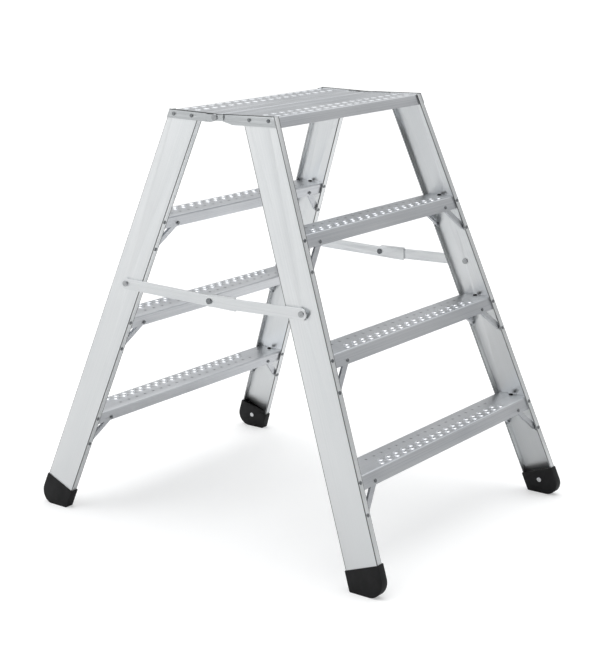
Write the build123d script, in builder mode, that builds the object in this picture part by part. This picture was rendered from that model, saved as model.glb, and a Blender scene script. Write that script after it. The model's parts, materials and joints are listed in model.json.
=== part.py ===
from build123d import *
from math import atan, cos, degrees, hypot, radians, sin, sqrt, tan
import os

# Double-sided platform step ladder, standing open. Origin on the floor under the middle, X along the
# treads (left is -X), the front half leans towards -Y and the rear half towards +Y.

# Driving dimensions, millimetres and degrees
platform_height = 1000
step_pitch = 250
step_count = 3
top_width = 594            # over the stile webs at platform level
flare = 0.107              # sideways spread of each stile per millimetre of drop
lean = 20.35               # lean of each half from the vertical, standing open
sag = 1.2                  # droop of each half of the platform towards the hinge
top_depth = 304            # over the stiles' outer flanges at platform level
hinge_y = 13               # the hinge line sits a little behind the middle
pin_drop = 5.5             # hinge axis below the platform surface

web_depth = 85
flange = 16.5
wall = 2.5
stile_end = 36             # the stile stops this far above the floor, inside its boot
stile_rise = 1.5           # and this far above the platform
stile_over = 50            # drawn this far past the platform, then cut off
stile_length = 1300        # as drawn, before it is cut
sheet = 2
bend = 4
tread_lip = 29
platform_lip = 24
hem = 7
end_gap = 0.4              # between a tread's end and the web beside it
half_gap = 1               # from the hinge line to the platform's inner edge

rivet_radius = 2.4
rivet_head = 4.5
head_height = 1.6
head_dome = 1.28           # rounding of a rivet head's rim
tail_radius = 3.4
tail_height = 1.5
rivet_from_web = 8
tread_rivet_drop = 10.5
strut_low_drop = 77
strut_high_drop = 21
strut_reach = 62           # of the strut's upper rivet from the web's outer face
strut_width = 14
strut_leg = 6
foot_radius = 4.4          # of the pressed foot round a strut's lower rivet
drain_radius = 4
drain_from_web = 12.5

plate = 3
plate_rise = 2.5           # hinge plates stand this far above the platform
front_plate_low = 16       # bottom edge of a front plate below the hinge axis
rear_plate_low = 12.5
plate_waist = 9            # and near the hinge
plate_rivets = (14, 68)    # from the stile's outer edge
plate_rivet_drop = 8
eye_radius = 8
eye_reach = 30             # this much of a rear plate stands square to the hinge axis
tongue_reach = 25
tongue_height = 15
tongue_step = 3            # width of the step out from the front plate to its tongue
pin_radius = 3
pin_head_radius = 8
pin_head_height = 2.5
fit = 0.08                 # radial running clearance of a pivot
slack = 0.05               # radial clearance of a fixed rivet in its hole

pivot_y = 262
pivot_z = 583
elbow_z = 576.5
link_height = 26
link = 3
layer_gap = 0.3            # between plates that slide over one another
link_clear = 1             # from the stile's web to the inner links
stop_reach = 75            # of the rear link past the elbow
stop_start = 5
pivot_radius = 4
pivot_head_radius = 7
pivot_head_height = 2.2
tail_washer = 1            # extra length of a brace pivot's tail

boot_wall = 2.5
boot_height = 59           # of the boot's top edge where it crosses the stile's centre line
toe_radius = 32
heel_radius = 4
screw_height = 38
screw_radius = 2
screw_head_radius = 6

# Worked out from the driving dimensions
own_lean = lean - sag      # of a half in its own frame
own_pitch = step_pitch * cos(radians(own_lean)) / cos(radians(lean))
slope = tan(radians(own_lean))
tilt = tan(radians(lean))
flange_run = wall / cos(radians(own_lean))
web_run = web_depth / cos(radians(own_lean))
front_reach = top_depth / 2 + hinge_y
rear_reach = top_depth / 2 - hinge_y
hinge_z = platform_height - pin_drop * cos(radians(sag)) - front_reach * sin(radians(sag))
pivot_drop = platform_height - pivot_z
link_inner = top_width / 2 + (pivot_drop + link_height / 2) * flare + link_clear
link_rise = (pivot_z - elbow_z) / pivot_y
flat = (Align.CENTER, Align.CENTER, Align.MIN)
sunk = (Align.CENTER, Align.CENTER, Align.MAX)

# Each half has a frame of its own: origin on the hinge axis, X along the treads, Y outwards, Z up
droop = radians(sag)
rear_frame = Plane((0, hinge_y, hinge_z), x_dir=(1, 0, 0), z_dir=(0, -sin(droop), cos(droop)))
front_frame = Plane((0, hinge_y, hinge_z), x_dir=(-1, 0, 0), z_dir=(0, sin(droop), cos(droop)))
halves = {"front": (front_frame, front_reach, -1), "rear": (rear_frame, rear_reach, 1)}
sides = {"left": -1, "right": 1}
levels = ("platform", "upper", "middle", "lower")
steps = range(1, step_count + 1)

os.makedirs("parts", exist_ok=True)


def save(part, name):
    part.label = name
    export_step(part, f"parts/{name}.step")


# A plane given in a half's own frame
def placed(frame, origin, x_dir, z_dir):
    return Plane(frame.location * Plane(origin, x_dir=x_dir, z_dir=z_dir).location)


# From the middle to the outer face of a stile's web, at a drop below the platform
def half_width(drop):
    return top_width / 2 + drop * flare


def outer_edge(reach, drop):
    return reach + drop * slope


def inner_edge(reach, drop):
    return outer_edge(reach, drop) - web_run


# On the outer face of a stile's web: X outwards along the half, Z out of the web
def web_plane(frame, hand, along=0, drop=0):
    return placed(frame, (hand * half_width(drop), along, pin_drop - drop), (0, 1, 0), (hand, 0, flare))


# On a flange's outer face, or depth under it: Z out of the channel, Y up along the slope
def flange_plane(frame, reach, across, drop, outer, depth=0.0):
    turn = 1 if outer else -1
    out = (0, turn * cos(radians(own_lean)), turn * sin(radians(own_lean)))
    edge = outer_edge(reach, drop) if outer else inner_edge(reach, drop)
    under = depth / cos(radians(own_lean))
    return placed(frame, (across, edge - turn * under, pin_drop - drop), (-turn, 0, 0), out)


# Through the flanges beside a tread
def tread_spots(frame, reach, hand, step):
    drop = step * own_pitch + tread_rivet_drop
    across = hand * (half_width(drop) - rivet_from_web)
    return [flange_plane(frame, reach, across, drop, outer) for outer in (True, False)]


# Through the flanges below it, where the struts' low ends are riveted
def strut_low_spots(frame, reach, hand, step):
    drop = step * own_pitch + strut_low_drop
    across = hand * (half_width(drop) - rivet_from_web)
    return [flange_plane(frame, reach, across, drop, outer) for outer in (True, False)]


# Through the tread's lips, where the struts' high ends are riveted
def strut_high_spots(frame, reach, hand, step):
    drop = step * own_pitch + strut_high_drop
    across = hand * (half_width(step * own_pitch) - strut_reach)
    return [flange_plane(frame, reach, across, drop, outer, wall) for outer in (True, False)]


# Through a hinge plate and the web behind it
def plate_spots(frame, reach, hand):
    return [web_plane(frame, hand, reach - back, plate_rivet_drop) for back in plate_rivets]


# A brace pivot, square to the middle plane: Z straight out from the stile's web
def pivot_plane(frame, hand):
    facing = 1 if frame is rear_frame else -1
    side = hand * facing
    spot = (side * half_width(pivot_drop), facing * pivot_y, pivot_z)
    return Plane(spot, x_dir=(0, 1, 0), z_dir=(side, 0, 0))


# Domed rivets: the head stands on each plane and the tail closes under the grip
def rivet(spots, grip):
    with BuildPart() as made:
        with Locations(*spots):
            Cylinder(rivet_radius, grip, align=sunk)
            Cylinder(rivet_head, head_height, align=flat)
        rims = made.edges().filter_by(GeomType.CIRCLE)
        rims = rims.filter_by(lambda rim: abs(rim.radius - rivet_head) < slack)
        crowns = [spot.offset(head_height).origin for spot in spots]
        tops = rims.filter_by(lambda rim: min((rim.arc_center - crown).length for crown in crowns) < slack)
        fillet(tops, head_dome)
        with Locations(*[spot.offset(-grip) for spot in spots]):
            Cylinder(tail_radius, tail_height, align=sunk)
    return made.part


# A lipless channel: web outwards, both flanges towards the middle of the ladder
def stile(frame, reach, hand):
    corner = (hand * half_width(-stile_over), inner_edge(reach, -stile_over), pin_drop + stile_over)
    start = placed(frame, corner, (1, 0, 0), (0, 0, 1))
    run = placed(frame, (0, 0, 0), (0, 1, 0), (hand * flare, slope, -1)).z_dir
    inward = Align.MAX if hand > 0 else Align.MIN
    holes = []
    for step in steps:
        holes += tread_spots(frame, reach, hand, step) + strut_low_spots(frame, reach, hand, step)
    with BuildPart() as made:
        with BuildSketch(start):
            Rectangle(wall * sqrt(1 + flare ** 2), web_run, align=(inward, Align.MIN))
            Rectangle(flange, flange_run, align=(inward, Align.MIN))
            with Locations((0, web_run)):
                Rectangle(flange, flange_run, align=(inward, Align.MAX))
        extrude(amount=stile_length, dir=run)
        split(bisect_by=Plane.XY.offset(stile_end), keep=Keep.TOP)
        top = placed(frame, (0, 0, pin_drop + stile_rise), (1, 0, 0), (0, 0, 1))
        split(bisect_by=top, keep=Keep.BOTTOM)
        # the inner flange stops under the platform sheet
        with BuildSketch(top.offset(-stile_rise - sheet)):
            with Locations((hand * (half_width(sheet) - wall), inner_edge(reach, 0))):
                Rectangle(2 * flange, 6 * wall, align=(Align.MAX if hand > 0 else Align.MIN, Align.CENTER))
        extrude(amount=4 * sheet, mode=Mode.SUBTRACT)
        with Locations(*holes):
            Cylinder(rivet_radius + slack, 6 * wall, mode=Mode.SUBTRACT)
        with Locations(*plate_spots(frame, reach, hand)):
            Cylinder(rivet_radius + slack, 6 * wall, mode=Mode.SUBTRACT)
        with Locations(pivot_plane(frame, hand)):
            Cylinder(pivot_radius + slack, 8 * wall, mode=Mode.SUBTRACT)
    return made.part


# A pressed tread: flat top, sloping lips that lie against the inside of the stiles' flanges
def tread(frame, reach, step):
    drop = step * own_pitch
    top = pin_drop - drop
    front_edge = outer_edge(reach, drop) - flange_run
    back_edge = inner_edge(reach, drop) + flange_run
    fall = tread_lip * slope
    corners = [(front_edge + fall, top - tread_lip), (front_edge, top), (back_edge, top)]
    corners += [(back_edge + fall, top - tread_lip)]
    holes = []
    for hand in (-1, 1):
        holes += tread_spots(frame, reach, hand, step) + strut_high_spots(frame, reach, hand, step)
    middle = (front_edge + back_edge) / 2
    drain = half_width(drop) - drain_from_web
    with BuildPart() as made:
        with BuildSketch(placed(frame, (0, 0, 0), (0, 1, 0), (1, 0, 0))):
            with BuildLine():
                FilletPolyline(*corners, radius=bend)
                offset(amount=sheet, side=Side.LEFT)
            make_face()
        extrude(amount=half_width(drop) - wall - end_gap, both=True)
        with Locations(*holes):
            Cylinder(rivet_radius + slack, 6 * wall, mode=Mode.SUBTRACT)
        with Locations(*[placed(frame, (x, middle, top), (1, 0, 0), (0, 0, 1)) for x in (-drain, drain)]):
            Cylinder(drain_radius, 3 * sheet, mode=Mode.SUBTRACT)
    return made.part


# Half of the platform: a deep lip against the stiles, a short hem beside the hinge line
def platform(frame, reach):
    front_edge = reach - flange_run
    fall = platform_lip * slope
    corners = [(front_edge + fall, pin_drop - platform_lip), (front_edge, pin_drop), (half_gap, pin_drop)]
    corners += [(half_gap, pin_drop - hem)]
    with BuildPart() as made:
        with BuildSketch(placed(frame, (0, 0, 0), (0, 1, 0), (1, 0, 0))):
            with BuildLine():
                FilletPolyline(*corners, radius=bend)
                offset(amount=sheet, side=Side.LEFT)
            make_face()
        extrude(amount=half_width(0) - end_gap, both=True)
        # it is narrower between the stiles' webs
        with BuildSketch(placed(frame, (0, inner_edge(reach, 0) - end_gap, 0), (1, 0, 0), (0, 0, 1))):
            for hand in (-1, 1):
                with Locations((hand * (half_width(0) - wall - end_gap), 0)):
                    Rectangle(4 * wall, 2 * web_run, align=(Align.MIN if hand > 0 else Align.MAX, Align.MIN))
        extrude(amount=2 * platform_lip, both=True, mode=Mode.SUBTRACT)
    return made.part


# A pair of struts at one end of a tread: small channels, each with a pressed foot at its low end
def struts(frame, reach, hand, step):
    low = strut_low_spots(frame, reach, hand, step)
    high = strut_high_spots(frame, reach, hand, step)
    with BuildPart() as made:
        for foot, head in zip(low, high):
            seat = foot.offset(-wall - sheet)
            end = seat.to_local_coords(head.origin)
            run = Vector(end.X, end.Y)
            along = Plane(seat.origin, x_dir=seat.from_local_coords(run) - seat.origin, z_dir=seat.z_dir * -1)
            rib = (strut_width - sheet) / 2
            with BuildSketch(along):
                with Locations((run.length / 2, 0)):
                    SlotCenterToCenter(run.length, strut_width)
            extrude(amount=sheet)
            with BuildSketch(along):
                with Locations((run.length / 2, rib), (run.length / 2, -rib)):
                    Rectangle(run.length - strut_width, sheet)
            extrude(amount=strut_leg)
            with Locations(seat):
                Cylinder(foot_radius, sheet, align=flat)
            with Locations(foot, head):
                Cylinder(rivet_radius + slack, 6 * wall, mode=Mode.SUBTRACT)
        split(bisect_by=web_plane(frame, hand).offset(-wall - end_gap), keep=Keep.BOTTOM)
    return made.part


# On the hinge axis, square to it: X outwards along the half, Y up, Z to local +X
def hinge_plane(frame, hand):
    return placed(frame, (hand * half_width(pin_drop), 0, 0), (0, 1, 0), (1, 0, 0))


# A hinge plate lies on the outside of a stile's web. The rear one ends in an eye round the hinge pin,
# the front one steps out and passes over it as a tongue
def hinge_plate(frame, reach, hand, front):
    low = front_plate_low if front else rear_plate_low
    near = tongue_reach - tongue_step if front else eye_reach - plate
    waist = plate_waist if front else rear_plate_low
    waist_end = 2 * tongue_reach
    rise = pin_drop + plate_rise
    far = outer_edge(reach, -plate_rise)
    on_web = placed(frame, (hand * half_width(pin_drop), 0, 0), (0, 1, 0), (1, 0, hand * flare))
    square = hinge_plane(frame, hand)
    with BuildPart() as made:
        with BuildSketch(on_web):
            with BuildLine():
                Polyline((near, rise), (far, rise), (far + (rise + low) * slope, -low), (waist_end, -low),
                         (near, -waist), close=True)
            make_face()
        extrude(amount=hand * plate)
        if front:
            with BuildSketch(square.offset(hand * (plate + layer_gap))):
                RectangleRounded(2 * tongue_reach, tongue_height, tongue_height / 4)
            extrude(amount=hand * plate)
            with BuildSketch(square.offset(hand * plate / 2)):
                with Locations((tongue_reach - tongue_step / 2, 0)):
                    Rectangle(tongue_step, tongue_height - tongue_step)
            extrude(amount=hand * (plate + layer_gap))
        else:
            with BuildSketch(square):
                Circle(eye_radius)
                with BuildLine():
                    Polyline((0, rise), (eye_reach, rise), (eye_reach, -low), (2 * eye_radius, -low),
                             (0, -eye_radius), close=True)
                make_face()
            extrude(amount=hand * plate)
        with Locations(square):
            Cylinder(pin_radius + (slack if front else fit), 8 * plate, mode=Mode.SUBTRACT)
        with Locations(*plate_spots(frame, reach, hand)):
            Cylinder(rivet_radius + slack, 8 * plate, mode=Mode.SUBTRACT)
    return made.part


# The stub a rear hinge plate turns on, headed over the front plate's tongue
def hinge_pin(side):
    inner = half_width(pin_drop) + slack
    outer = half_width(pin_drop) + 2 * plate + layer_gap
    with BuildPart() as made:
        with Locations(Plane((side * inner, hinge_y, hinge_z), x_dir=(0, 1, 0), z_dir=(side, 0, 0))):
            Cylinder(pin_radius, outer - inner, align=flat)
        with Locations(Plane((side * outer, hinge_y, hinge_z), x_dir=(0, 1, 0), z_dir=(side, 0, 0))):
            Cylinder(pin_head_radius, pin_head_height, align=flat)
        fillet(made.faces().sort_by(Axis.X)[-1 if side > 0 else 0].edges(), pin_head_height * 0.6)
    return made.part


# A moulded boot on the foot of a stile: flat sole, big rounded toe, sleeve square to the stile
def boot(facing, side, leg):
    cover = boot_wall / cos(radians(lean))
    width = web_depth / cos(radians(lean))
    toe = top_depth / 2 + platform_height * tilt
    middle = toe - boot_height * tilt - width / 2
    out = toe + cover
    back = toe - width - cover
    high = (boot_height + (out - middle) * tilt) / (1 + tilt ** 2)
    low = (boot_height + (back - middle) * tilt) / (1 + tilt ** 2)
    web = Plane((side * half_width(platform_height), 0, 0), x_dir=(0, 1, 0), z_dir=(side, 0, flare))
    with BuildPart() as made:
        with BuildSketch(Plane.YZ.offset(side * (half_width(platform_height) - 4 * flange))) as outline:
            with BuildLine():
                Polyline((facing * back, 0), (facing * out, 0), (facing * (out - high * tilt), high),
                         (facing * (back - low * tilt), low), close=True)
            make_face()
            sole = outline.vertices().group_by(Axis.Y)[0].sort_by(Axis.X)
            fillet(sole[-1 if facing > 0 else 0], toe_radius)
            sole = outline.vertices().group_by(Axis.Y)[0].sort_by(Axis.X)
            fillet(sole[0 if facing > 0 else -1], heel_radius)
        extrude(amount=side * 8 * flange)
        split(bisect_by=web.offset(boot_wall), keep=Keep.BOTTOM)
        split(bisect_by=web.offset(-flange - boot_wall), keep=Keep.TOP)
        add(leg, mode=Mode.SUBTRACT)
        with Locations(screw_plane(facing, side)):
            Cylinder(screw_radius + slack, 5 * boot_wall, mode=Mode.SUBTRACT)
    return made.part


# On a boot's inner wall, Z towards the middle of the ladder
def screw_plane(facing, side):
    drop = platform_height - screw_height
    along = top_depth / 2 + drop * tilt - web_depth / 2 / cos(radians(lean))
    outward = Vector(side, 0, flare).normalized()
    spot = Vector(side * half_width(drop), facing * along, screw_height)
    return Plane(spot - outward * (flange + boot_wall), x_dir=(0, 1, 0), z_dir=outward * -1)


def boot_screws(facing):
    with BuildPart() as made:
        for side in sides.values():
            with Locations(screw_plane(facing, side)):
                Cylinder(screw_radius, 2 * boot_wall, align=sunk)
                Cylinder(screw_head_radius, head_height, align=flat)
    return made.part


# Where a link lies: layer 0 is the rear link beside the webs, layer 1 the front link outside it
def layer_plane(side, layer):
    return Plane.YZ.offset(side * (link_inner + layer * (link + layer_gap)))


# The front link of a brace, from the front stile to just past the elbow
def front_link(side):
    with BuildPart() as made:
        with BuildSketch(layer_plane(side, 1)):
            with Locations((-pivot_y / 2, (pivot_z + elbow_z) / 2)):
                SlotCenterToCenter(hypot(pivot_y, pivot_z - elbow_z), link_height, -degrees(atan(link_rise)))
            with Locations((-pivot_y, pivot_z)):
                Circle(pivot_radius + fit, mode=Mode.SUBTRACT)
            with Locations((0, elbow_z)):
                Circle(pivot_radius + slack, mode=Mode.SUBTRACT)
        extrude(amount=side * link)
    return made.part


# The rear link runs on past the elbow, and a lip on it stops on the front link's top edge
def rear_link(side):
    edge = link_height / 2 * sqrt(1 + link_rise ** 2)
    seat = elbow_z + edge + layer_gap
    start = seat + stop_start * link_rise
    end = seat + stop_reach * link_rise
    with BuildPart() as made:
        with BuildSketch(layer_plane(side, 0)):
            with Locations((pivot_y / 2, (pivot_z + elbow_z) / 2)):
                SlotCenterToCenter(hypot(pivot_y, pivot_z - elbow_z), link_height, degrees(atan(link_rise)))
            with BuildLine():
                Polyline((link_height, elbow_z), (-stop_start, start + link), (-stop_reach, end + link),
                         (-stop_reach, elbow_z - edge - stop_reach * link_rise), (0, elbow_z - edge),
                         close=True)
            make_face()
            with Locations((pivot_y, pivot_z)):
                Circle(pivot_radius + fit, mode=Mode.SUBTRACT)
            with Locations((0, elbow_z)):
                Circle(pivot_radius + slack, mode=Mode.SUBTRACT)
        extrude(amount=side * link)
        with BuildSketch(layer_plane(side, 0)):
            with BuildLine():
                Polyline((-stop_start, start + link), (-stop_reach, end + link), (-stop_reach, end),
                         (-stop_start, start), close=True)
            make_face()
        extrude(amount=side * (2 * link + layer_gap))
    return made.part


# From a stile's web to the inner face of the link that turns there
def link_offset(layer):
    return link_inner + layer * (link + layer_gap) - half_width(pivot_drop)


# Shouldered pivot rivets through the webs, one each side
def brace_pivots(frame, layer):
    with BuildPart() as made:
        for hand in (-1, 1):
            pivot = pivot_plane(frame, hand)
            with BuildPart(mode=Mode.PRIVATE) as tail:
                with Locations(pivot):
                    Cylinder(pivot_head_radius, wall + tail_height + tail_washer, align=sunk)
                split(bisect_by=web_plane(frame, hand).offset(-wall), keep=Keep.BOTTOM)
            add(tail)
            with Locations(pivot):
                Cylinder(pivot_radius, wall + tail_height, align=sunk)
                Cylinder(pivot_radius, link_offset(layer) + link + slack, align=flat)
            with Locations(pivot.offset(link_offset(layer) + link + slack)):
                Cylinder(pivot_head_radius, pivot_head_height, align=flat)
    return made.part


# Collars that hold the links off the webs, one each side
def brace_spacers(frame, layer):
    with BuildPart() as made:
        for hand in (-1, 1):
            pivot = pivot_plane(frame, hand)
            with BuildPart(mode=Mode.PRIVATE) as collar:
                with Locations(pivot.offset(link_offset(layer) - slack)):
                    Cylinder(pivot_head_radius, link_offset(layer) + wall, align=sunk)
                    Cylinder(pivot_radius + slack, 3 * link_offset(layer), mode=Mode.SUBTRACT)
                split(bisect_by=web_plane(frame, hand), keep=Keep.TOP)
            add(collar)
    return made.part


# The elbow's rivet is parted where the links meet, and each part stays in its own link
def elbow_rivet(side):
    start = Plane((layer_plane(side, 1).origin.X, 0, elbow_z), x_dir=(0, 1, 0), z_dir=(side, 0, 0))
    with BuildPart() as made:
        with Locations(start):
            Cylinder(pivot_radius, link, align=flat)
        with Locations(start.offset(link)):
            Cylinder(pivot_head_radius, pivot_head_height, align=flat)
    return made.part


def elbow_stub(side):
    start = Plane((layer_plane(side, 0).origin.X, 0, elbow_z), x_dir=(0, 1, 0), z_dir=(side, 0, 0))
    with BuildPart() as made:
        with Locations(start):
            Cylinder(pivot_radius, link, align=flat)
            Cylinder(pivot_head_radius, tail_height, align=sunk)
    return made.part


for half, (frame, reach, facing) in halves.items():
    front = half == "front"
    layer = 1 if front else 0
    hands = (-1, 1)
    save(platform(frame, reach), f"{half}_platform")
    for step in steps:
        save(tread(frame, reach, step), f"{half}_{levels[step]}_tread")
    for name, side in sides.items():
        hand = side * facing
        leg = stile(frame, reach, hand)
        save(leg, f"{half}_{name}_stile")
        save(boot(facing, side, leg), f"{half}_{name}_boot")
        save(hinge_plate(frame, reach, hand, front), f"{half}_{name}_hinge_plate")
        for step in steps:
            save(struts(frame, reach, hand, step), f"{half}_{name}_{levels[step]}_struts")
    through_treads = []
    through_feet = []
    through_lips = []
    through_plates = []
    for hand in hands:
        for step in steps:
            through_treads += tread_spots(frame, reach, hand, step)
            through_feet += strut_low_spots(frame, reach, hand, step)
            through_lips += strut_high_spots(frame, reach, hand, step)
        through_plates += [spot.offset(plate) for spot in plate_spots(frame, reach, hand)]
    save(rivet(through_treads, wall + sheet), f"{half}_tread_rivets")
    with BuildPart() as strut_rivets:
        add(rivet(through_feet, wall + 2 * sheet))
        add(rivet(through_lips, 2 * sheet))
    save(strut_rivets.part, f"{half}_strut_rivets")
    save(rivet(through_plates, plate + wall), f"{half}_plate_rivets")
    save(brace_pivots(frame, layer), f"{half}_brace_pivots")
    save(brace_spacers(frame, layer), f"{half}_brace_spacers")
    save(boot_screws(facing), f"{half}_boot_screws")

for name, side in sides.items():
    save(hinge_pin(side), f"{name}_hinge_pin")
    save(front_link(side), f"{name}_front_link")
    save(rear_link(side), f"{name}_rear_link")
    save(elbow_rivet(side), f"{name}_elbow_rivet")
    save(elbow_stub(side), f"{name}_elbow_stub")
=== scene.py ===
import json
from math import atan2, cos, pi, radians, sin, tan

import bmesh
import bpy
from mathutils import Matrix, Vector


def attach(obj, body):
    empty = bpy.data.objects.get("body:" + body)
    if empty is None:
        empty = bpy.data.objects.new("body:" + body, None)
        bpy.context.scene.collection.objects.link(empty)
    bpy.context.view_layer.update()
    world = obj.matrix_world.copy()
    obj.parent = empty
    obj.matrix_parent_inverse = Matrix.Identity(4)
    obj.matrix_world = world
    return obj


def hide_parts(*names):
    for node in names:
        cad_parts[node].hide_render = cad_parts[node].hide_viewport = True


# Double-sided platform step ladder in satin aluminium with black boots, standing open.
# Metres. X runs along the treads, the front half leans towards -Y, the rear half towards +Y.

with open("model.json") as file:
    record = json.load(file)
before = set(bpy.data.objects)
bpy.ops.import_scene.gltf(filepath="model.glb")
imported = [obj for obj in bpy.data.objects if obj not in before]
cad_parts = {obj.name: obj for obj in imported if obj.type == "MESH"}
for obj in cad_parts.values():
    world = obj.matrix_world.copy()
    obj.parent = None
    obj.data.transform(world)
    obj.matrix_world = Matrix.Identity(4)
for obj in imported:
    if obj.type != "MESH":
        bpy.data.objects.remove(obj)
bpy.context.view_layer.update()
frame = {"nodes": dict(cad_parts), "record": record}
nodes = frame["nodes"]
joints = {joint["name"]: joint for joint in frame["record"]["behaviour"]["joints"]}
hinge = Vector(joints["fold"]["pos_m"])
mm = 0.001
tiny = 0.00005    # points nearer than this are one
print("frame loaded")


# A half's own frame: X along the treads, Y outwards, Z up, tipped by the platform's droop
ladder = {
    "droop": 1.2,        # degrees
    "lean": 20.35,
    "flare": 0.107,
}


def halfMatrix(half):
    droop = radians(ladder["droop"])
    facing = -1 if half == "front" else 1
    xAxis = Vector((facing, 0, 0))
    yAxis = Vector((0, facing * cos(droop), sin(droop)))
    zAxis = xAxis.cross(yAxis)
    turn = Matrix((xAxis, yAxis, zAxis)).transposed().to_4x4()
    return Matrix.Translation(hinge) @ turn


halfFrames = {half: halfMatrix(half) for half in ("front", "rear")}


def addNode(tree, kind, **values):
    node = tree.nodes.new(kind)
    for name, value in values.items():
        setattr(node, name, value)
    return node


def newFinish(name):
    finish = bpy.data.materials.new(name)
    finish.use_nodes = True
    tree = finish.node_tree
    tree.nodes.clear()
    output = addNode(tree, "ShaderNodeOutputMaterial")
    shader = addNode(tree, "ShaderNodeBsdfPrincipled")
    tree.links.new(shader.outputs["BSDF"], output.inputs["Surface"])
    return finish, tree, shader


def mathNode(tree, operation, first, second):
    node = addNode(tree, "ShaderNodeMath", operation=operation)
    for socket, value in zip(node.inputs, (first, second)):
        if isinstance(value, (int, float)):
            socket.default_value = value
        else:
            tree.links.new(value, socket)
    return node.outputs[0]


def softStep(tree, source, low, high, atLow, atHigh):
    node = addNode(tree, "ShaderNodeMapRange", interpolation_type="SMOOTHSTEP")
    for key, value in (("From Min", low), ("From Max", high), ("To Min", atLow), ("To Max", atHigh)):
        node.inputs[key].default_value = value
    tree.links.new(source, node.inputs["Value"])
    return node.outputs["Result"]


# Signed distance from a plane, in the object's own coordinates
def planeDistance(tree, place, normal, point):
    dot = addNode(tree, "ShaderNodeVectorMath", operation="DOT_PRODUCT")
    dot.inputs[1].default_value = normal
    tree.links.new(place, dot.inputs[0])
    return mathNode(tree, "SUBTRACT", dot.outputs["Value"], Vector(normal).dot(point))


def scaleColour(tree, factor):
    shader = next(node for node in tree.nodes if node.type == "BSDF_PRINCIPLED")
    shade = addNode(tree, "ShaderNodeVectorMath", operation="SCALE")
    tree.links.new(shader.inputs["Base Color"].links[0].from_socket, shade.inputs[0])
    tree.links.new(factor, shade.inputs["Scale"])
    tree.links.new(shade.outputs[0], shader.inputs["Base Color"])


def addBump(tree, shader, height, strength, distance):
    bump = addNode(tree, "ShaderNodeBump")
    bump.inputs["Strength"].default_value = strength
    bump.inputs["Distance"].default_value = distance
    tree.links.new(height, bump.inputs["Height"])
    tree.links.new(bump.outputs["Normal"], shader.inputs["Normal"])


def colourBetween(tree, source, low, high, start, end):
    ramp = addNode(tree, "ShaderNodeValToRGB")
    ramp.color_ramp.elements[0].position = start
    ramp.color_ramp.elements[0].color = (*low, 1)
    ramp.color_ramp.elements[1].position = end
    ramp.color_ramp.elements[1].color = (*high, 1)
    tree.links.new(source, ramp.inputs["Fac"])
    return ramp.outputs["Color"]


def noiseAlong(tree, turn, spacing, detail):
    place = addNode(tree, "ShaderNodeTexCoord")
    mapping = addNode(tree, "ShaderNodeMapping", vector_type="TEXTURE")
    mapping.inputs["Rotation"].default_value = turn
    mapping.inputs["Scale"].default_value = spacing
    noise = addNode(tree, "ShaderNodeTexNoise")
    noise.inputs["Scale"].default_value = 1.0
    noise.inputs["Detail"].default_value = detail
    tree.links.new(place.outputs["Object"], mapping.inputs["Vector"])
    tree.links.new(mapping.outputs["Vector"], noise.inputs["Vector"])
    return noise.outputs["Fac"]


# Drawn or rolled metal: fine lines one way, a slow cloudiness, and a slowly changing roughness
metal = {
    "lineSpacing": 0.9 * mm,
    "lineLength": 0.5,
    "lineDetail": 3.0,
    "lineShare": 0.55,        # of the lines in the colour, the rest is the cloudiness
    "lineDepth": 0.2 * mm,
    "cloud": (0.12, 0.12, 0.35),
    "scuff": (0.02, 0.02, 0.12),
    "slowDetail": 2.0,
    "toneRange": (0.36, 0.64),
    "scuffRange": (0.3, 0.7),
    "wear": 0.03,             # change in roughness either way
}


def drawnMetal(name, turn, dark, light, rough, lineBump, along=metal["lineLength"],
               across=metal["lineSpacing"]):
    finish, tree, shader = newFinish(name)
    lines = noiseAlong(tree, turn, (across, across, along), metal["lineDetail"])
    cloud = noiseAlong(tree, turn, metal["cloud"], metal["slowDetail"])
    scuff = noiseAlong(tree, turn, metal["scuff"], metal["slowDetail"])
    mix = mathNode(tree, "ADD", mathNode(tree, "MULTIPLY", lines, metal["lineShare"]),
                   mathNode(tree, "MULTIPLY", cloud, 1 - metal["lineShare"]))
    tree.links.new(colourBetween(tree, mix, dark, light, *metal["toneRange"]), shader.inputs["Base Color"])
    shader.inputs["Metallic"].default_value = 1.0
    worn = addNode(tree, "ShaderNodeMapRange")
    worn.inputs["From Min"].default_value, worn.inputs["From Max"].default_value = metal["scuffRange"]
    worn.inputs["To Min"].default_value = rough - metal["wear"]
    worn.inputs["To Max"].default_value = rough + metal["wear"]
    tree.links.new(scuff, worn.inputs["Value"])
    tree.links.new(worn.outputs["Result"], shader.inputs["Roughness"])
    addBump(tree, shader, lines, lineBump, metal["lineDepth"])
    return finish


# Z of the pattern runs along the stile
def stileTurn(half, side):
    facing = -1 if half == "front" else 1
    along = Vector((side * ladder["flare"], facing * tan(radians(ladder["lean"])), -1)).normalized()
    across = Vector((0, 1, 0)).cross(along).normalized()
    return Matrix((across, along.cross(across), along)).transposed().to_euler()


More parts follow.
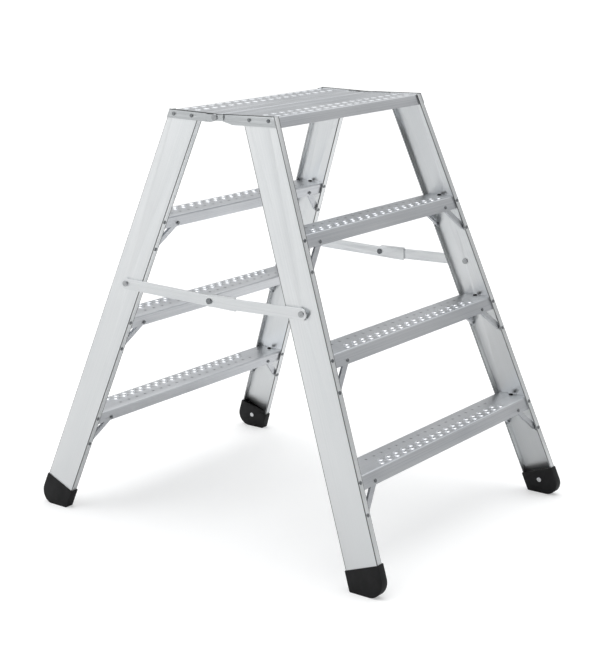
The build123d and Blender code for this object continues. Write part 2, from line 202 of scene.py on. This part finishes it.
alongX = (0.0, pi / 2, 0.0)
alongY = (pi / 2, 0.0, 0.0)
sheetFinish = drawnMetal("rolledSheet", alongX, (0.60, 0.62, 0.65), (0.80, 0.81, 0.83), 0.34, 0.25)
linkFinish = drawnMetal("zincStrip", alongY, (0.76, 0.78, 0.79), (0.88, 0.89, 0.90), 0.32, 0.1)
head = 4 * mm    # even grain of the small heads
rivetFinish = drawnMetal("rivetMetal", alongX, (0.16, 0.17, 0.18), (0.34, 0.35, 0.36), 0.34, 0.1, head, head)
pivotFinish = drawnMetal("pivotMetal", alongX, (0.36, 0.37, 0.38), (0.56, 0.57, 0.58), 0.34, 0.1, head, head)
screwFinish = drawnMetal("screwMetal", alongX, (0.62, 0.63, 0.65), (0.80, 0.81, 0.82), 0.26, 0.1, head, head)
stileLook = {
    "topWidth": 594 * mm,     # over the webs at platform level
    "halfDepth": 152 * mm,    # middle to the outer flange's face at platform level
    "webDepth": 85 * mm,
    "flange": 16.5 * mm,
    "freeEdge": 1.9 * mm,     # painted shade: a dark line along a flange's free edge
    "corner": 1.2 * mm,       # and along each corner
    "edgeShade": 0.14,
    "blur": 0.4 * mm,         # of those lines
    "insideFrom": 3 * mm,     # painted shade: soft darkening inside the channel beside the flanges
    "insideBand": 8 * mm,
    "insideShade": 0.82,
    "flangeHighlight": 1.05,       # painted light: the flanges are brighter than the web
    "footShade": 0.93,        # painted shade: the web darkens towards the floor
    "headShade": 1.0,
    "footRange": (0.05, 0.75),
    "flangeRange": (0.5, 0.8),    # how squarely a face looks out, to count as a flange's
    "insideRange": (0.6, 0.9),    # or inwards, to count as the web's inside
}


# Painted shade: dark lines along the corners and free edges of a channel and a soft band inside it; also the
# flanges' painted highlight and the painted shade towards the floor
def paintedStileLightAndShade(finish, half, side):
    tree = finish.node_tree
    facing = -1 if half == "front" else 1
    lean = radians(ladder["lean"])
    place = addNode(tree, "ShaderNodeTexCoord")
    webNormal = Vector((side, 0, ladder["flare"])).normalized()
    flangeNormal = Vector((0, facing * cos(lean), sin(lean)))
    top = Vector((side * stileLook["topWidth"] / 2, facing * stileLook["halfDepth"], 1.0))
    under = mathNode(tree, "MULTIPLY", planeDistance(tree, place.outputs["Object"], webNormal, top), -1.0)
    back = mathNode(tree, "MULTIPLY", planeDistance(tree, place.outputs["Object"], flangeNormal, top), -1.0)
    nearest = mathNode(tree, "MINIMUM", back, mathNode(tree, "SUBTRACT", stileLook["webDepth"], back))
    onFlange = addNode(tree, "ShaderNodeVectorMath", operation="DOT_PRODUCT")
    onFlange.inputs[1].default_value = flangeNormal
    tree.links.new(place.outputs["Normal"], onFlange.inputs[0])
    eitherWay = mathNode(tree, "MAXIMUM", onFlange.outputs["Value"],
                         mathNode(tree, "MULTIPLY", onFlange.outputs["Value"], -1.0))
    flangeFace = softStep(tree, eitherWay, *stileLook["flangeRange"], 0.0, 1.0)
    inward = addNode(tree, "ShaderNodeVectorMath", operation="DOT_PRODUCT")
    inward.inputs[1].default_value = webNormal * -1
    tree.links.new(place.outputs["Normal"], inward.inputs[0])
    insideFace = softStep(tree, inward.outputs["Value"], *stileLook["insideRange"], 0.0, 1.0)
    blur = stileLook["blur"]
    free = stileLook["flange"] - stileLook["freeEdge"]
    corner = stileLook["corner"]
    # painted shade along the flanges' free edges and corners, and along the web's corners
    flangeLines = mathNode(tree, "MAXIMUM", softStep(tree, under, free - blur, free + blur, 0.0, 1.0),
                           softStep(tree, under, corner - blur, corner + blur, 1.0, 0.0))
    webLines = softStep(tree, nearest, corner - blur, corner + blur, 1.0, 0.0)
    lines = mathNode(tree, "ADD", mathNode(tree, "MULTIPLY", flangeLines, flangeFace),
                     mathNode(tree, "MULTIPLY", webLines, mathNode(tree, "SUBTRACT", 1.0, flangeFace)))
    # painted shade in the channel beside the flanges
    band = mathNode(tree, "MULTIPLY", softStep(tree, nearest, stileLook["insideFrom"],
                                              stileLook["insideBand"], 1.0, 0.0), insideFace)
    keep = mathNode(tree, "SUBTRACT", 1.0, mathNode(tree, "MULTIPLY", lines, 1 - stileLook["edgeShade"]))
    keepInside = mathNode(tree, "SUBTRACT", 1.0,
                          mathNode(tree, "MULTIPLY", band, 1 - stileLook["insideShade"]))
    # painted highlight on the flanges
    gain = softStep(tree, flangeFace, 0.0, 1.0, 1.0, stileLook["flangeHighlight"])
    # painted shade darkening the stile towards the floor
    height = planeDistance(tree, place.outputs["Object"], Vector((0, 0, 1)), Vector((0, 0, 0)))
    foot = softStep(tree, height, *stileLook["footRange"], stileLook["footShade"], stileLook["headShade"])
    shades = mathNode(tree, "MULTIPLY", foot, mathNode(tree, "MULTIPLY", keep, keepInside))
    scaleColour(tree, mathNode(tree, "MULTIPLY", gain, shades))


punchLightAndShade = 0.3    # painted highlight on the raised rims, and painted shade round each hole and at the foot of each rim
sheetTree = sheetFinish.node_tree
holeLightAndShade = addNode(sheetTree, "ShaderNodeAttribute", attribute_name="holeLightAndShade")
sheetShade = mathNode(sheetTree, "ADD", 1.0,
                      mathNode(sheetTree, "MULTIPLY", holeLightAndShade.outputs["Fac"], punchLightAndShade))
scaleColour(sheetTree, sheetShade)

plateLook = {
    "top": 8 * mm,            # of the plates above the hinge axis
    "topEdgeShade": 1.3 * mm,      # painted shade: a dark line along that edge
    "blur": 0.52 * mm,
    "lineShade": 0.12,
}
stileFinishes = {}
plateFinishes = {}
for half in ("front", "rear"):
    plateFinish = drawnMetal(f"zincPlate_{half}", alongY, (0.58, 0.60, 0.61), (0.72, 0.735, 0.745), 0.36, 0.1)
    plateTree = plateFinish.node_tree
    place = addNode(plateTree, "ShaderNodeTexCoord").outputs["Object"]
    # painted shade along the plates' top edge
    edge = halfFrames[half] @ Vector((0, 0, plateLook["top"]))
    above = planeDistance(plateTree, place, halfFrames[half].col[2].to_3d(), edge)
    topEdgeShade = softStep(plateTree, above, -plateLook["topEdgeShade"] - plateLook["blur"], -plateLook["topEdgeShade"],
                       1.0, plateLook["lineShade"])
    scaleColour(plateTree, topEdgeShade)
    plateFinishes[half] = plateFinish
    for name, side in (("left", -1), ("right", 1)):
        stileFinish = drawnMetal(f"drawnStile_{half}_{name}", stileTurn(half, side), (0.82, 0.84, 0.85),
                                 (0.91, 0.92, 0.925), 0.34, 0.1, 1.2)
        paintedStileLightAndShade(stileFinish, half, side)
        stileFinishes[f"{half}_{name}"] = stileFinish


rubber = {
    "dark": (0.003, 0.003, 0.0035),
    "dusty": (0.011, 0.011, 0.012),
    "toneRange": (0.3, 0.7),
    "grain": (0.0012, 0.0012, 0.0012),
    "dust": (0.02, 0.02, 0.03),
    "detail": 4.0,
    "rough": 0.55,
    "specular": 0.3,
    "grainBump": 0.35,
    "grainDepth": 0.3 * mm,
}


def rubberFinish():
    finish, tree, shader = newFinish("blackRubber")
    grain = noiseAlong(tree, (0, 0, 0), rubber["grain"], rubber["detail"])
    dust = noiseAlong(tree, (0, 0, 0), rubber["dust"], rubber["detail"])
    tree.links.new(colourBetween(tree, dust, rubber["dark"], rubber["dusty"], *rubber["toneRange"]),
                   shader.inputs["Base Color"])
    shader.inputs["Roughness"].default_value = rubber["rough"]
    shader.inputs["Specular IOR Level"].default_value = rubber["specular"]
    addBump(tree, shader, grain, rubber["grainBump"], rubber["grainDepth"])
    return finish


bootFinish = rubberFinish()
print("finishes made")


def dress(obj, finish):
    obj.data.materials.clear()
    obj.data.materials.append(finish)


def addMesh(name, mesh):
    obj = bpy.data.objects.new(name, mesh)
    bpy.context.scene.collection.objects.link(obj)
    return obj


# The object's evaluated shape as a plain mesh, its modifiers gone
def settle(obj):
    bpy.context.view_layer.update()
    evaluated = obj.evaluated_get(bpy.context.evaluated_depsgraph_get())
    plain = bpy.data.meshes.new_from_object(evaluated)
    obj.modifiers.clear()
    obj.data = plain
    return obj


# Perforated sheets: the treads and the two halves of the platform
punch = {
    "segments": 14,
    "hole": 2.2 * mm,
    "crown": 1.9 * mm,      # height of a raised hole
    "lipWidth": 3.0 * mm,
    "slope": 0.55,          # height half-way up the crown, as a share of it
    "rim": 0.8,             # and at the hole's edge
    # painted light by place on a patch: painted highlight up the crowns, painted shade at their foot and
    # round the holes
    "lightAndShade": {"skirt": -0.4, "slope": 0.5, "top": 1.0, "rim": -0.5, "flatRim": -1.0},
}
treadPattern = {
    "pitch": 30.6 * mm,
    "count": 18,
    "raisedRows": (12.5 * mm, 27.0 * mm),    # from the tread's outer edge, the second one staggered
    "drainRow": 55.0 * mm,
    "rowHalf": 7.1 * mm,
    "endHole": 9.6 * mm,                     # from the tread's end
    "endHoleHalf": 5.4 * mm,
    "endShift": 0.2 * mm,                    # off the middle of the tread's depth
    "raisedBase": (9.0 * mm, 6.9 * mm),      # outer radii of the patches round the holes, along and across
    "drainBase": (6.0 * mm, 6.0 * mm),
    "endBase": (5.0 * mm, 5.0 * mm),
}
platformPattern = {
    "pitch": 30.6 * mm,
    "count": 18,
    "raisedRows": (15.0 * mm, 50.0 * mm),
    "rowHalf": 10.5 * mm,
    "groove": (88.0 * mm, 106.0 * mm),
    "grooveDepth": 0.9 * mm,
    "grooveMove": 2 * mm,                    # out of the way of the step in the sheet's width
    "narrowDepth": 40 * mm,                  # within this of the outer edge the sheet is narrow
    "raisedBase": (10.0 * mm, 10.0 * mm),
}
pressing = {
    "thickness": 2.0 * mm,
    "bend": 4.0 * mm,
    "bendSteps": 5,
    "treadLip": 29.0 * mm,
    "platformLip": 24.0 * mm,
    "hem": 7.0 * mm,
    "sharp": 35,            # degrees
}


# One patch of sheet round a hole, raised into a crown or left flat
def punchPatch(name, halfX, halfY, crown, baseX, baseY):
    mesh = bpy.data.meshes.new(name)
    bm = bmesh.new()
    # painted highlight and shade, kept on each point
    tone = bm.verts.layers.float.new("holeLightAndShade")
    hole = punch["hole"]
    lightAndShade = punch["lightAndShade"]
    if crown > 0:
        top = hole + punch["lipWidth"]
        rings = [(baseX, baseY, 0.0, lightAndShade["skirt"]),
                 ((baseX + top) / 2, (baseY + top) / 2, crown * punch["slope"], lightAndShade["slope"]),
                 (top, top, crown, lightAndShade["top"]),
                 (hole, hole, crown * punch["rim"], lightAndShade["rim"])]
    else:
        rings = [(baseX, baseY, 0.0, 0.0), (hole, hole, 0.0, lightAndShade["flatRim"])]
    loops = []
    for radiusX, radiusY, height, toneHere in rings:
        loop = []
        for k in range(punch["segments"]):
            angle = 2 * pi * k / punch["segments"]
            point = bm.verts.new((radiusX * cos(angle), radiusY * sin(angle), height))
            point[tone] = toneHere
            loop.append(point)
        loops.append(loop)
    for outer, inner in zip(loops, loops[1:]):
        for k in range(punch["segments"]):
            after = (k + 1) % punch["segments"]
            bm.faces.new((outer[k], outer[after], inner[after], inner[k]))
    corners = [(-halfX, -halfY), (0, -halfY), (halfX, -halfY), (halfX, halfY), (0, halfY), (-halfX, halfY)]
    edge = [bm.verts.new((x, y, 0)) for x, y in corners]
    border = [bm.edges.new((edge[k], edge[(k + 1) % len(edge)])) for k in range(len(edge))]
    base = loops[0]
    ring = [bm.edges.get((base[k], base[(k + 1) % len(base)])) for k in range(len(base))]
    bmesh.ops.triangle_fill(bm, edges=border + ring, use_beauty=True)
    bmesh.ops.recalc_face_normals(bm, faces=bm.faces)
    if sum(face.normal.z for face in bm.faces) < 0:
        bmesh.ops.reverse_faces(bm, faces=bm.faces)
    for face in bm.faces:
        face.smooth = len(face.verts) == 4
    bm.to_mesh(mesh)
    bm.free()
    return addMesh(name, mesh)


# Sets a row of punched patches into the gaps left for them in a sheet
def punchedRowTree():
    tree = bpy.data.node_groups.new("punchedRow", "GeometryNodeTree")
    face = tree.interface
    face.new_socket("Sheet", in_out="INPUT", socket_type="NodeSocketGeometry")
    face.new_socket("Patch", in_out="INPUT", socket_type="NodeSocketObject")
    face.new_socket("Count", in_out="INPUT", socket_type="NodeSocketInt")
    face.new_socket("Pitch", in_out="INPUT", socket_type="NodeSocketFloat")
    face.new_socket("Row", in_out="INPUT", socket_type="NodeSocketFloat")
    face.new_socket("Level", in_out="INPUT", socket_type="NodeSocketFloat")
    face.new_socket("Finish", in_out="INPUT", socket_type="NodeSocketMaterial")
    face.new_socket("Sheet", in_out="OUTPUT", socket_type="NodeSocketGeometry")
    given = addNode(tree, "NodeGroupInput")
    result = addNode(tree, "NodeGroupOutput")
    spans = addNode(tree, "ShaderNodeMath", operation="SUBTRACT")
    spans.inputs[1].default_value = 1
    tree.links.new(given.outputs["Count"], spans.inputs[0])
    start = addNode(tree, "ShaderNodeMath", operation="MULTIPLY")
    tree.links.new(spans.outputs[0], start.inputs[0])
    tree.links.new(given.outputs["Pitch"], start.inputs[1])
    half = addNode(tree, "ShaderNodeMath", operation="MULTIPLY")
    half.inputs[1].default_value = -0.5
    tree.links.new(start.outputs[0], half.inputs[0])
    first = addNode(tree, "ShaderNodeCombineXYZ")
    tree.links.new(half.outputs[0], first.inputs["X"])
    tree.links.new(given.outputs["Row"], first.inputs["Y"])
    tree.links.new(given.outputs["Level"], first.inputs["Z"])
    step = addNode(tree, "ShaderNodeCombineXYZ")
    tree.links.new(given.outputs["Pitch"], step.inputs["X"])
    line = addNode(tree, "GeometryNodeMeshLine", mode="OFFSET")
    tree.links.new(given.outputs["Count"], line.inputs["Count"])
    tree.links.new(first.outputs[0], line.inputs["Start Location"])
    tree.links.new(step.outputs[0], line.inputs["Offset"])
    patch = addNode(tree, "GeometryNodeObjectInfo")
    tree.links.new(given.outputs["Patch"], patch.inputs["Object"])
    places = addNode(tree, "GeometryNodeInstanceOnPoints")
    tree.links.new(line.outputs["Mesh"], places.inputs["Points"])
    tree.links.new(patch.outputs["Geometry"], places.inputs["Instance"])
    join = addNode(tree, "GeometryNodeJoinGeometry")
    real = addNode(tree, "GeometryNodeRealizeInstances")
    merge = addNode(tree, "GeometryNodeMergeByDistance")
    merge.inputs["Distance"].default_value = tiny
    finish = addNode(tree, "GeometryNodeSetMaterial")
    tree.links.new(places.outputs["Instances"], join.inputs["Geometry"])
    tree.links.new(given.outputs["Sheet"], join.inputs["Geometry"])
    tree.links.new(join.outputs["Geometry"], real.inputs["Geometry"])
    tree.links.new(real.outputs["Geometry"], merge.inputs["Geometry"])
    tree.links.new(merge.outputs["Geometry"], finish.inputs["Geometry"])
    tree.links.new(given.outputs["Finish"], finish.inputs["Material"])
    tree.links.new(finish.outputs["Geometry"], result.inputs["Sheet"])
    return tree


rowTree = punchedRowTree()


def setInputs(modifier, **values):
    for item in modifier.node_group.interface.items_tree:
        if item.in_out == "INPUT" and item.name in values:
            modifier[item.identifier] = values[item.name]


# Points of a bent edge: round the corner between two straight runs
def bendPoints(before, corner, after, radius, steps):
    back = (Vector(before) - Vector(corner)).normalized()
    ahead = (Vector(after) - Vector(corner)).normalized()
    halfAngle = back.angle(ahead) / 2
    reach = radius / tan(halfAngle)
    centre = Vector(corner) + (back + ahead).normalized() * (radius / sin(halfAngle))
    start = Vector(corner) + back * reach - centre
    end = Vector(corner) + ahead * reach - centre
    turn = atan2(start.x * end.y - start.y * end.x, start.dot(end))
    points = []
    for k in range(steps + 1):
        angle = turn * k / steps
        x = start.x * cos(angle) - start.y * sin(angle)
        y = start.x * sin(angle) + start.y * cos(angle)
        points.append((centre.x + x, centre.y + y))
    return points


# A pressed sheet in a half's own frame, with the rows of patches put into it
def pressedSheet(name, half, corners, halfLength, rows, extraColumns=(), narrow=None, groove=None):
    radius = pressing["bend"]
    steps = pressing["bendSteps"]
    outerBend = bendPoints(corners[0], corners[1], corners[2], radius, steps)
    innerBend = bendPoints(corners[1], corners[2], corners[3], radius, steps)
    level = corners[1][1]
    stops = {outerBend[-1][0]: level, innerBend[0][0]: level}
    for row in rows:
        stops[row["y"] - row["halfY"]] = level
        stops[row["y"] + row["halfY"]] = level
    if groove:
        near, far, depth = groove
        slant = 2 * depth
        stops.update({near: level, near + slant: level - depth, far - slant: level - depth, far: level})
    if narrow:
        stops[narrow[0]] = level
    top = [(y, stops[y]) for y in sorted(stops, reverse=True)]
    profile = [corners[0]] + outerBend[:-1] + top + innerBend[1:] + [corners[3]]
    columns = {round(x, 7) for x in (-halfLength, halfLength)}
    pitch = rows[0]["pitch"] / 2
    columns |= {round(k * pitch, 7) for k in range(-rows[0]["count"], rows[0]["count"] + 1)}
    columns |= {round(x, 7) for x in extraColumns}
    columns = sorted(columns)

    def isPunched(x, y):
        for row in rows:
            if abs(y - row["y"]) < row["halfY"]:
                for k in range(row["count"]):
                    centre = (k - (row["count"] - 1) / 2) * row["pitch"]
                    if abs(x - centre) < row["halfX"]:
                        return True
        return False

    bm = bmesh.new()
    grid = [[bm.verts.new((x, y, z)) for x in columns] for y, z in profile]
    for i in range(len(profile) - 1):
        y = (profile[i][0] + profile[i + 1][0]) / 2
        flatTop = all(abs(z - level) < tiny for z in (profile[i][1], profile[i + 1][1]))
        for k in range(len(columns) - 1):
            x = (columns[k] + columns[k + 1]) / 2
            if flatTop and isPunched(x, y):
                continue
            if narrow and y > narrow[0] and abs(x) > narrow[1]:
                continue
            quad = bm.faces.new((grid[i][k], grid[i][k + 1], grid[i + 1][k + 1], grid[i + 1][k]))
            quad.smooth = True
    loose = [vert for vert in bm.verts if not vert.link_faces]
    bmesh.ops.delete(bm, geom=loose, context="VERTS")
    bm.normal_update()
    if sum(quad.normal.z * quad.calc_area() for quad in bm.faces) < 0:
        bmesh.ops.reverse_faces(bm, faces=bm.faces)
    mesh = bpy.data.meshes.new(name)
    bm.to_mesh(mesh)
    bm.free()
    piece = addMesh(name, mesh)
    for row in rows:
        modifier = piece.modifiers.new("punchedRow", "NODES")
        modifier.node_group = rowTree
        setInputs(modifier, Patch=row["patch"], Count=row["count"], Pitch=row["pitch"], Row=row["y"],
                  Level=level, Finish=sheetFinish)
    thick = piece.modifiers.new("sheetThickness", "SOLIDIFY")
    thick.thickness = pressing["thickness"]
    thick.offset = -1
    thick.use_even_offset = True
    settle(piece)
    piece.data.transform(halfFrames[half])
    dress(piece, sheetFinish)
    piece.data.shade_smooth()
    piece.data.set_sharp_from_angle(angle=radians(pressing["sharp"]))
    return piece


# A CAD node's corners in its half's own frame
def ownPoints(half, node):
    inverse = halfFrames[half].inverted()
    return [inverse @ vertex.co for vertex in nodes[node].data.vertices]


raised = punchPatch("punchRaised", treadPattern["pitch"] / 2, treadPattern["rowHalf"], punch["crown"],
                    *treadPattern["raisedBase"])
drained = punchPatch("punchFlat", treadPattern["pitch"] / 2, treadPattern["rowHalf"], 0.0,
                     *treadPattern["drainBase"])
endPunched = punchPatch("punchEnd", treadPattern["endHoleHalf"], treadPattern["endHoleHalf"], 0.0,
                        *treadPattern["endBase"])
bigRaised = punchPatch("punchPlatform", platformPattern["pitch"] / 2, platformPattern["rowHalf"],
                       punch["crown"], *platformPattern["raisedBase"])
lipSlope = tan(radians(ladder["lean"] - ladder["droop"]))


# A sheet's points, the height of its top, and its outer and inner edges at that height
def sheetEdges(half, node):
    points = ownPoints(half, node)
    level = max(point.z for point in points)
    low = min(point.z for point in points)
    outer = max(point.y for point in points) - (level - low) * lipSlope
    inner = min(point.y for point in points)
    return points, level, outer, inner


plugSpots = []
for half in ("front", "rear"):
    for level in ("upper", "middle", "lower"):
        node = f"{half}_{level}_tread"
        points, top, outer, inner = sheetEdges(half, node)
        lip = pressing["treadLip"]
        corners = [(outer + lip * lipSlope, top - lip), (outer, top), (inner, top),
                   (inner + lip * lipSlope, top - lip)]
        halfLength = max(point.x for point in points)
        pattern = treadPattern
        rows = []
        for k, back in enumerate(pattern["raisedRows"]):
            rows.append({"y": outer - back, "halfY": pattern["rowHalf"], "halfX": pattern["pitch"] / 2,
                         "count": pattern["count"] - k, "pitch": pattern["pitch"], "patch": raised})
        rows.append({"y": outer - pattern["drainRow"], "halfY": pattern["rowHalf"],
                     "halfX": pattern["pitch"] / 2, "count": pattern["count"],
                     "pitch": pattern["pitch"], "patch": drained})
        endAt = halfLength - pattern["endHole"]
        endHalf = pattern["endHoleHalf"]
        rows.append({"y": (outer + inner) / 2 + pattern["endShift"], "halfY": endHalf, "halfX": endHalf,
                     "count": 2, "pitch": 2 * endAt, "patch": endPunched})
        ends = [hand * (endAt + shift) for hand in (-1, 1) for shift in (-endHalf, 0, endHalf)]
        plugSpots += [(half, (hand * endAt, rows[-1]["y"], top)) for hand in (-1, 1)]
        tread = pressedSheet(f"{node}_punched", half, corners, halfLength, rows, extraColumns=ends)
        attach(tread, f"{half}_half")
        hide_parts(node)
print("treads made")

# Small black plugs in the holes at the ends of the treads
plug = {
    "rim": 5.6 * mm,
    "stem": 2.9 * mm,
    "shoulder": (0.92, 0.6),    # of the rim and of the dome
    "crown": 0.5,
    "dome": 3.0 * mm,
    "depth": 3.5 * mm,
    "segments": 12,
    "sharp": 50,                # degrees
}
plugOutline = [(plug["stem"], -plug["depth"]), (plug["stem"], 0.0), (plug["rim"], 0.0),
               (plug["rim"] * plug["shoulder"][0], plug["dome"] * plug["shoulder"][1]),
               (plug["rim"] * plug["crown"], plug["dome"])]
plugTurns = [2 * pi * k / plug["segments"] for k in range(plug["segments"])]
for half in ("front", "rear"):
    bm = bmesh.new()
    for owner, spot in plugSpots:
        if owner != half:
            continue
        centre = Vector(spot)
        bottomCap = bm.verts.new(centre - Vector((0, 0, plug["depth"])))
        topCap = bm.verts.new(centre + Vector((0, 0, plug["dome"])))
        rings = []
        for radius, height in plugOutline:
            rings.append([bm.verts.new(centre + Vector((radius * cos(turn), radius * sin(turn), height)))
                          for turn in plugTurns])
        for k in range(plug["segments"]):
            after = (k + 1) % plug["segments"]
            bm.faces.new((bottomCap, rings[0][after], rings[0][k]))
            bm.faces.new((topCap, rings[-1][k], rings[-1][after]))
            for lower, upper in zip(rings, rings[1:]):
                bm.faces.new((lower[k], lower[after], upper[after], upper[k]))
    bmesh.ops.recalc_face_normals(bm, faces=bm.faces)
    mesh = bpy.data.meshes.new(f"{half}_tread_plugs")
    bm.to_mesh(mesh)
    bm.free()
    mesh.transform(halfFrames[half])
    plugs = addMesh(f"{half}_tread_plugs", mesh)
    dress(plugs, bootFinish)
    plugs.data.shade_smooth()
    plugs.data.set_sharp_from_angle(angle=radians(plug["sharp"]))
    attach(plugs, f"{half}_half")
print("plugs made")

for half in ("front", "rear"):
    node = f"{half}_platform"
    points, top, outer, inner = sheetEdges(half, node)
    lip = pressing["platformLip"]
    corners = [(outer + lip * lipSlope, top - lip), (outer, top), (inner, top),
               (inner, top - pressing["hem"])]
    halfLength = max(point.x for point in points)
    pattern = platformPattern
    narrowX = max(point.x for point in points if point.y > outer - pattern["narrowDepth"])
    wide = [point.y for point in points if point.x > narrowX + 1 * mm]
    rows = []
    for back in pattern["raisedRows"]:
        rows.append({"y": outer - back, "halfY": pattern["rowHalf"], "halfX": pattern["pitch"] / 2,
                     "count": pattern["count"], "pitch": pattern["pitch"], "patch": bigRaised})
    grooveNear, grooveFar = pattern["groove"]
    groove = (outer - grooveFar, outer - grooveNear, pattern["grooveDepth"])
    if abs(max(wide) - groove[0]) < 1 * mm or abs(max(wide) - groove[1]) < 1 * mm:
        groove = (groove[0] - pattern["grooveMove"], groove[1] - pattern["grooveMove"], groove[2])
    board = pressedSheet(f"{node}_punched", half, corners, halfLength, rows, extraColumns=(-narrowX, narrowX),
                         narrow=(max(wide), narrowX), groove=groove)
    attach(board, f"{half}_half")
    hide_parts(node)
for patch in (raised, drained, endPunched, bigRaised):
    bpy.data.objects.remove(patch)
print("platform made")

softening = {
    "boot": 1.6 * mm,
    "strip": 0.5 * mm,
    "stile": 0.9 * mm,
    "weld": 0.01 * mm,
    "flat": 2,              # degrees between faces that become one
    "bevelFrom": 40,
    "sharp": 50,
}


# The CAD shape of a boot, stile, plate or link with its edges broken
def softened(node, finish, width, segments, body):
    mesh = nodes[node].data.copy()
    piece = addMesh(f"{node}_soft", mesh)
    bm = bmesh.new()
    bm.from_mesh(mesh)
    bmesh.ops.remove_doubles(bm, verts=bm.verts, dist=softening["weld"])
    bmesh.ops.dissolve_limit(bm, angle_limit=radians(softening["flat"]), verts=bm.verts, edges=bm.edges)
    bm.to_mesh(mesh)
    bm.free()
    bevel = piece.modifiers.new("brokenEdge", "BEVEL")
    bevel.width = width
    bevel.segments = segments
    bevel.limit_method = "ANGLE"
    bevel.angle_limit = radians(softening["bevelFrom"])
    settle(piece)
    dress(piece, finish)
    piece.data.shade_smooth()
    piece.data.set_sharp_from_angle(angle=radians(softening["sharp"]))
    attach(piece, body)
    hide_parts(node)


for half in ("front", "rear"):
    body = f"{half}_half"
    for name in ("left", "right"):
        softened(f"{half}_{name}_boot", bootFinish, softening["boot"], 3, body)
        softened(f"{half}_{name}_hinge_plate", plateFinishes[half], softening["strip"], 2, body)
        softened(f"{half}_{name}_stile", stileFinishes[f"{half}_{name}"], softening["stile"], 3, body)
        softened(f"{name}_{half}_link", linkFinish, softening["strip"], 2, f"{name}_{half}_link")
print("boots, plates and links made")

# The CAD nodes that stay
for name, node in nodes.items():
    if name.endswith("_struts") or name.endswith("_spacers"):
        dress(node, sheetFinish)
    elif name.endswith("_boot_screws"):
        dress(node, screwFinish)
    elif "pivots" in name or "_pin" in name:
        dress(node, pivotFinish)
    elif "rivet" in name or "stub" in name:
        dress(node, rivetFinish)

studio = {
    "floorSize": 300.0,
    "floorColour": 0.72,
    "floorChange": 0.985,     # the darker patches, as a share of the colour
    "floorPatch": 0.8,
    "floorRange": (0.3, 0.7),
    "floorRough": 0.85,
    "floorGlow": 0.36,        # only as seen directly, so the floor isn't too bright in the metal
    "roomColour": (0.985, 0.995, 1.0),
    "glowLeft": 0.92,         # the room's brightness towards -X
    "glowRight": 0.42,        # towards +X
    "sideRange": 0.9,
    "glowAbove": 1.1,         # added overhead
    "aboveFrom": 0.25,
    "darkToward": (-0.753, -0.590, 0.292),    # a dark side, which draws the edges
    "darkLevel": 0.10,
    "darkRange": (0.45, 0.85),
    "lampHeight": 6.0,
    "lampSize": 6.0,
    "lampPower": 60,
}


def makeFloor():
    mesh = bpy.data.meshes.new("floor")
    half = studio["floorSize"] / 2
    corners = [(-half, -half, 0), (half, -half, 0), (half, half, 0), (-half, half, 0)]
    mesh.from_pydata(corners, [], [(0, 1, 2, 3)])
    floor = addMesh("floor", mesh)
    finish, tree, shader = newFinish("paleFloor")
    shade = noiseAlong(tree, (0, 0, 0), [studio["floorPatch"]] * 3, metal["slowDetail"])
    light = [studio["floorColour"]] * 3
    low = [studio["floorColour"] * studio["floorChange"]] * 3
    tree.links.new(colourBetween(tree, shade, low, light, *studio["floorRange"]), shader.inputs["Base Color"])
    shader.inputs["Roughness"].default_value = studio["floorRough"]
    shader.inputs["Emission Color"].default_value = (1, 1, 1, 1)
    seen = addNode(tree, "ShaderNodeLightPath").outputs["Is Camera Ray"]
    tree.links.new(mathNode(tree, "MULTIPLY", seen, studio["floorGlow"]), shader.inputs["Emission Strength"])
    dress(floor, finish)


# A soft room: brighter on one hand and overhead, dark on one side
def makeRoom():
    world = bpy.data.worlds.new("studio")
    world.use_nodes = True
    tree = world.node_tree
    background = tree.nodes["Background"]
    background.inputs["Color"].default_value = (*studio["roomColour"], 1)
    direction = addNode(tree, "ShaderNodeTexCoord").outputs["Generated"]
    parts = addNode(tree, "ShaderNodeSeparateXYZ")
    tree.links.new(direction, parts.inputs[0])
    reach = studio["sideRange"]
    sideways = softStep(tree, parts.outputs["X"], -reach, reach, studio["glowLeft"], studio["glowRight"])
    above = softStep(tree, parts.outputs["Z"], studio["aboveFrom"], 1.0, 0.0, studio["glowAbove"])
    facing = planeDistance(tree, direction, studio["darkToward"], Vector((0, 0, 0)))
    dark = softStep(tree, facing, *studio["darkRange"], 1.0, studio["darkLevel"])
    strength = mathNode(tree, "MULTIPLY", mathNode(tree, "ADD", sideways, above), dark)
    tree.links.new(strength, background.inputs["Strength"])
    bpy.context.scene.world = world


def makeTopLight():
    lamp = bpy.data.lights.new("topLight", "AREA")
    lamp.size = studio["lampSize"]
    lamp.energy = studio["lampPower"]
    obj = bpy.data.objects.new("topLight", lamp)
    obj.location = (0, 0, studio["lampHeight"])
    bpy.context.scene.collection.objects.link(obj)


makeFloor()
makeRoom()
makeTopLight()

view = {
    "azimuth": -51.909,
    "elevation": 11.944,
    "roll": -0.603,
    "distance": 4.46764,
    "aim": (0.41546, 0.43448, 0.480),
    "lens": 86.891,           # millimetres, on a sensor of the width below
    "sensor": 36,
    "shiftX": 0.05234,
    "shiftY": -0.09794,
}


def makeCamera():
    azimuth, elevation, roll = (radians(view[key]) for key in ("azimuth", "elevation", "roll"))
    back = Vector((sin(azimuth) * cos(elevation), -cos(azimuth) * cos(elevation), sin(elevation)))
    right = Vector((0, 0, 1)).cross(back).normalized()
    up = back.cross(right)
    rolledRight = right * cos(roll) + up * sin(roll)
    rolledUp = up * cos(roll) - right * sin(roll)
    data = bpy.data.cameras.new("camera")
    data.sensor_width = view["sensor"]
    data.lens = view["lens"]
    data.shift_x = view["shiftX"]
    data.shift_y = view["shiftY"]
    camera = bpy.data.objects.new("camera", data)
    bpy.context.scene.collection.objects.link(camera)
    place = Vector(view["aim"]) + back * view["distance"]
    turn = Matrix((rolledRight, rolledUp, back)).transposed().to_4x4()
    camera.matrix_world = Matrix.Translation(place) @ turn
    bpy.context.scene.camera = camera


makeCamera()
bpy.context.scene.view_settings.view_transform = "Standard"
print("studio made")
